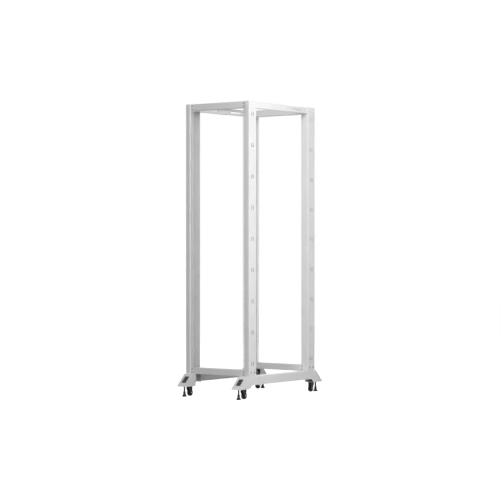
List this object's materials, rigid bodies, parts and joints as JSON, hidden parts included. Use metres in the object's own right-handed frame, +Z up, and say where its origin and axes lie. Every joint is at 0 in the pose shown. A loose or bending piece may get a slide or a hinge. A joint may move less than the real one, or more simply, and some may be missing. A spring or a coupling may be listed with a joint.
{
  "type": "four post open frame rack",
  "caption": "Open frame equipment rack: posts with square-hole mounting flanges, crossbars, telescoping top side bars and splayed feet with casters and levelling feet.",
  "frame": {"origin": "on the floor, at the middle of the rack", "axes": "+X to the right seen from the front, +Y from the front to the rear, +Z up"},
  "size_m": [0.57, 1.04, 2.1219],
  "materials": {
    "rack_paint": "light grey powder coat",
    "caster_metal": "black coating",
    "wheel_plastic": "black nylon",
    "plug_plastic": "black plastic",
    "foot_metal": "black oxide",
    "nut_steel": "zinc plated"
  },
  "bodies": {
    "frame": {"post_front_right": "rack_paint", "post_front_left": "rack_paint", "post_rear_right": "rack_paint", "post_rear_left": "rack_paint", "post_bracket_front_right": "rack_paint", "post_bracket_front_left": "rack_paint", "post_bracket_rear_right": "rack_paint", "post_bracket_rear_left": "rack_paint", "foot_plug_front_right": "plug_plastic", "foot_plug_front_left": "plug_plastic", "foot_plug_rear_right": "plug_plastic", "foot_plug_rear_left": "plug_plastic", "caster_plate_front_right": "caster_metal", "caster_plate_front_left": "caster_metal", "caster_plate_rear_right": "caster_metal", "caster_plate_rear_left": "caster_metal", "leveller_nut_front_right": "nut_steel", "leveller_nut_front_left": "nut_steel", "leveller_nut_rear_right": "nut_steel", "leveller_nut_rear_left": "nut_steel", "base_right": "rack_paint", "side_bar_front_right": "rack_paint", "side_bar_rear_right": "rack_paint", "base_left": "rack_paint", "side_bar_front_left": "rack_paint", "side_bar_rear_left": "rack_paint", "crossbar_bottom_front": "rack_paint", "crossbar_bottom_rear": "rack_paint", "crossbar_top_front": "rack_paint", "crossbar_top_rear": "rack_paint"},
    "swivel_front_right": {"caster_fork_front_right": "caster_metal"},
    "wheel_front_right": {"caster_wheel_front_right": "wheel_plastic"},
    "foot_front_right": {"leveller_front_right": "foot_metal"},
    "swivel_front_left": {"caster_fork_front_left": "caster_metal"},
    "wheel_front_left": {"caster_wheel_front_left": "wheel_plastic"},
    "foot_front_left": {"leveller_front_left": "foot_metal"},
    "swivel_rear_right": {"caster_fork_rear_right": "caster_metal"},
    "wheel_rear_right": {"caster_wheel_rear_right": "wheel_plastic"},
    "foot_rear_right": {"leveller_rear_right": "foot_metal"},
    "swivel_rear_left": {"caster_fork_rear_left": "caster_metal"},
    "wheel_rear_left": {"caster_wheel_rear_left": "wheel_plastic"},
    "foot_rear_left": {"leveller_rear_left": "foot_metal"}
  },
  "joints": [
    {"name": "caster_swivel_front_right", "type": "hinge", "parent": "frame", "child": "swivel_front_right", "pos_m": [0.245, -0.425, 0.066], "axis": [0, 0, 1], "continuous": true},
    {"name": "wheel_roll_front_right", "type": "hinge", "parent": "swivel_front_right", "child": "wheel_front_right", "pos_m": [0.245, -0.419, 0.026], "axis": [1, 0, 0], "continuous": true},
    {"name": "foot_screw_front_right", "type": "slide", "parent": "frame", "child": "foot_front_right", "axis": [0, 0, 1], "range_m": [0, 0.008]},
    {"name": "caster_swivel_front_left", "type": "hinge", "parent": "frame", "child": "swivel_front_left", "pos_m": [-0.245, -0.425, 0.066], "axis": [0, 0, 1], "continuous": true},
    {"name": "wheel_roll_front_left", "type": "hinge", "parent": "swivel_front_left", "child": "wheel_front_left", "pos_m": [-0.245, -0.419, 0.026], "axis": [1, 0, 0], "continuous": true},
    {"name": "foot_screw_front_left", "type": "slide", "parent": "frame", "child": "foot_front_left", "axis": [0, 0, 1], "range_m": [0, 0.008]},
    {"name": "caster_swivel_rear_right", "type": "hinge", "parent": "frame", "child": "swivel_rear_right", "pos_m": [0.245, 0.425, 0.066], "axis": [0, 0, 1], "continuous": true},
    {"name": "wheel_roll_rear_right", "type": "hinge", "parent": "swivel_rear_right", "child": "wheel_rear_right", "pos_m": [0.245, 0.419, 0.026], "axis": [1, 0, 0], "continuous": true},
    {"name": "foot_screw_rear_right", "type": "slide", "parent": "frame", "child": "foot_rear_right", "axis": [0, 0, 1], "range_m": [0, 0.008]},
    {"name": "caster_swivel_rear_left", "type": "hinge", "parent": "frame", "child": "swivel_rear_left", "pos_m": [-0.245, 0.425, 0.066], "axis": [0, 0, 1], "continuous": true},
    {"name": "wheel_roll_rear_left", "type": "hinge", "parent": "swivel_rear_left", "child": "wheel_rear_left", "pos_m": [-0.245, 0.419, 0.026], "axis": [1, 0, 0], "continuous": true},
    {"name": "foot_screw_rear_left", "type": "slide", "parent": "frame", "child": "foot_rear_left", "axis": [0, 0, 1], "range_m": [0, 0.008]}
  ]
}
